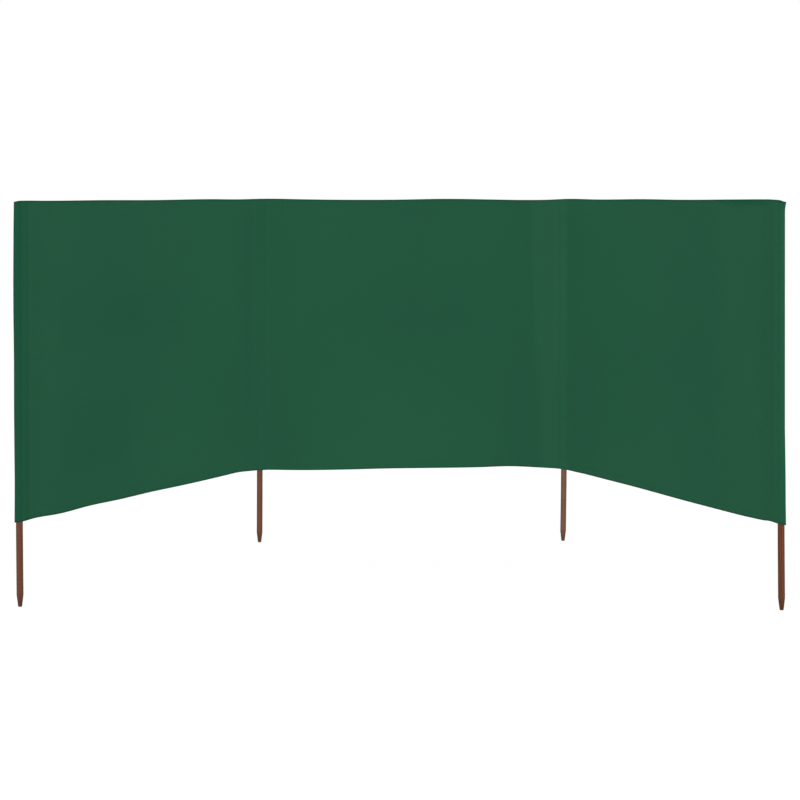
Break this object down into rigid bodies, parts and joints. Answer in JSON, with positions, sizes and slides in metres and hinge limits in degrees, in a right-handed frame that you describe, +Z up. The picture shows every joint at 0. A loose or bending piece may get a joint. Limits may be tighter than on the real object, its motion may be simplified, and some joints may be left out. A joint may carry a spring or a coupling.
{
  "type": "beach windbreak",
  "caption": "Folding cloth screen on pointed wooden stakes that are pushed into sand to shelter people from the wind, with side panels that swing forward or back.",
  "frame": {"origin": "centre of the flat end of the inner left stake's point", "axes": "+Z up along the stake, +X along the middle panel to the inner right stake, -Y towards the sheltered side, where the wings come forward"},
  "size_m": [2.8246, 1.1969, 1.5013],
  "materials": {
    "panel_cloth": "matt woven dark green",
    "sleeve_cloth": "matt woven dark green, doubled",
    "stake_wood": "red brown stained softwood"
  },
  "bodies": {
    "middle": {"inner_left_stake": "stake_wood", "inner_right_stake": "stake_wood", "inner_left_sleeve": "sleeve_cloth", "inner_right_sleeve": "sleeve_cloth", "middle_panel": "panel_cloth", "middle_top_hem": "panel_cloth", "middle_bottom_hem": "panel_cloth", "middle_left_seam": "sleeve_cloth", "middle_right_seam": "sleeve_cloth"},
    "left_wing": {"outer_left_stake": "stake_wood", "outer_left_sleeve": "sleeve_cloth", "left_panel": "panel_cloth", "left_top_hem": "panel_cloth", "left_bottom_hem": "panel_cloth", "left_inner_seam": "sleeve_cloth", "left_outer_seam": "sleeve_cloth"},
    "right_wing": {"outer_right_stake": "stake_wood", "outer_right_sleeve": "sleeve_cloth", "right_panel": "panel_cloth", "right_top_hem": "panel_cloth", "right_bottom_hem": "panel_cloth", "right_inner_seam": "sleeve_cloth", "right_outer_seam": "sleeve_cloth"}
  },
  "joints": [
    {"name": "left_wing_fold", "type": "hinge", "parent": "middle", "child": "left_wing", "pos_m": [0, 0, 0.9], "axis": [0, 0, 1], "range_deg": [-170.4, 65.6]},
    {"name": "right_wing_fold", "type": "hinge", "parent": "middle", "child": "right_wing", "pos_m": [1.333, 0, 0.9], "axis": [0, 0, -1], "range_deg": [-178.8, 57.2]}
  ]
}
